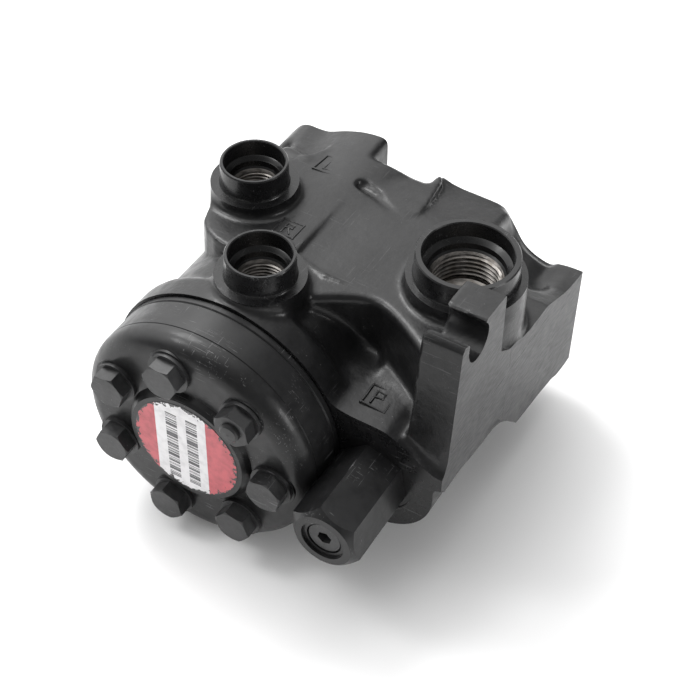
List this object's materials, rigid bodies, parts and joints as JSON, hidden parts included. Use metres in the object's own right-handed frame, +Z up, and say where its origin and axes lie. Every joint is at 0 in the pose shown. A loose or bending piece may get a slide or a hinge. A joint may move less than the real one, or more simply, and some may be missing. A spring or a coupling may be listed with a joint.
{
  "type": "hydraulic steering unit",
  "caption": "Black cast hydrostatic steering unit: bolted gear set and end cover, raised threaded ports on top, hexagon-capped priority valve beside it, splined input shaft behind.",
  "frame": {"origin": "centre of the four mounting holes on the mounting face, on the shaft axis", "axes": "+Z up, the way the three top ports open; +Y along the shaft axis, the way the input shaft leaves the mounting face; +X towards the priority valve"},
  "size_m": [0.1387, 0.1695, 0.117],
  "materials": {
    "cast_housing": "satin black enamel over cast iron",
    "black_steel": "satin black enamel over turned steel",
    "black_fastener": "black enamel over a zinc-plated screw",
    "label": "printed film, red with a white band",
    "ground_steel": "ground and hardened steel",
    "spring_steel": "spring steel",
    "bright_shaft": "bright ground steel",
    "nitrile": "black nitrile rubber",
    "brass": "bare"
  },
  "bodies": {
    "housing": {"housing": "cast_housing", "distributor_plate": "black_steel", "gear_ring": "black_steel", "end_cover": "black_steel", "cover_screws": "black_fastener", "special_screw": "black_fastener", "cover_washers": "black_fastener", "name_label": "label", "housing_o_ring": "nitrile", "plate_o_ring": "nitrile", "cover_o_ring": "nitrile", "check_bushing": "ground_steel", "bearing_outer_race": "ground_steel", "shaft_seal": "nitrile", "dust_seal": "nitrile", "priority_hex_cap": "black_steel", "hex_cap_o_ring": "nitrile", "relief_seat": "ground_steel", "relief_spring": "spring_steel", "priority_spring": "spring_steel", "rear_plug": "black_fastener", "rear_plug_o_ring": "nitrile"},
    "sleeve": {"sleeve": "ground_steel", "cross_pin": "ground_steel", "flat_centring_springs": "spring_steel", "curved_centring_springs": "spring_steel", "spring_stop_ring": "spring_steel", "bearing_inner_race": "ground_steel"},
    "spool": {"spool": "bright_shaft"},
    "bearing_cage": {"bearing_cage": "brass", "bearing_needles": "ground_steel"},
    "orbit": {"spacer": "ground_steel"},
    "rotor": {"rotor": "ground_steel"},
    "cardan": {"cardan_shaft": "ground_steel"},
    "check_ball": {"check_ball": "ground_steel"},
    "adjuster_carrier": {"adjuster_o_ring": "nitrile"},
    "adjuster": {"adjusting_screw": "black_fastener"},
    "relief_poppet": {"relief_poppet": "ground_steel"},
    "priority_spool": {"priority_spool": "ground_steel"}
  },
  "joints": [
    {"name": "sleeve_turn", "type": "hinge", "parent": "housing", "child": "sleeve", "pos_m": [0, -0.06, 0], "axis": [0, 1, 0], "continuous": true},
    {"name": "spool_turn", "type": "hinge", "parent": "sleeve", "child": "spool", "pos_m": [0, -0.06, 0], "axis": [0, 1, 0], "range_deg": [-10, 10], "stiffness_Nm_per_rad": 2},
    {"name": "cage_turn", "type": "hinge", "parent": "housing", "child": "bearing_cage", "pos_m": [0, -0.022, 0], "axis": [0, 1, 0], "continuous": true},
    {"name": "rotor_orbit", "type": "hinge", "parent": "housing", "child": "orbit", "pos_m": [0, -0.1255, 0], "axis": [0, 1, 0], "continuous": true},
    {"name": "rotor_spin", "type": "hinge", "parent": "orbit", "child": "rotor", "pos_m": [-0.00067, -0.1255, 0.00351], "axis": [0, 1, 0], "continuous": true},
    {"name": "cardan_spin", "type": "hinge", "parent": "orbit", "child": "cardan", "pos_m": [0, -0.07, 0], "axis": [0.012, 0.9979, -0.0631], "continuous": true},
    {"name": "check_ball_lift", "type": "slide", "parent": "housing", "child": "check_ball", "axis": [0, 1, 0], "range_m": [-0.0017, 0.0001]},
    {"name": "adjuster_travel", "type": "slide", "parent": "housing", "child": "adjuster_carrier", "axis": [0, 1, 0], "range_m": [-0.001, 0.001]},
    {"name": "adjuster_turn", "type": "hinge", "parent": "adjuster_carrier", "child": "adjuster", "pos_m": [0.0619, -0.145, -0.0045], "axis": [0, 1, 0], "range_deg": [-360, 360]},
    {"name": "relief_lift", "type": "slide", "parent": "housing", "child": "relief_poppet", "axis": [0, -1, 0], "range_m": [0, 0.002], "stiffness_N_per_m": 400, "springref_m": -0.002, "deforming": ["relief_spring"]},
    {"name": "priority_shift", "type": "slide", "parent": "housing", "child": "priority_spool", "axis": [0, -1, 0], "range_m": [0, 0.008], "stiffness_N_per_m": 800, "springref_m": -0.004, "deforming": ["priority_spring"]}
  ],
  "couplings": [
    {"joint": "cage_turn", "follows": "sleeve_turn", "ratio": 0.5},
    {"joint": "rotor_orbit", "follows": "sleeve_turn", "ratio": -6},
    {"joint": "rotor_spin", "follows": "sleeve_turn", "ratio": 7},
    {"joint": "cardan_spin", "follows": "sleeve_turn", "ratio": 7},
    {"joint": "adjuster_travel", "follows": "adjuster_turn", "m_per_rad": 0.00015915}
  ]
}
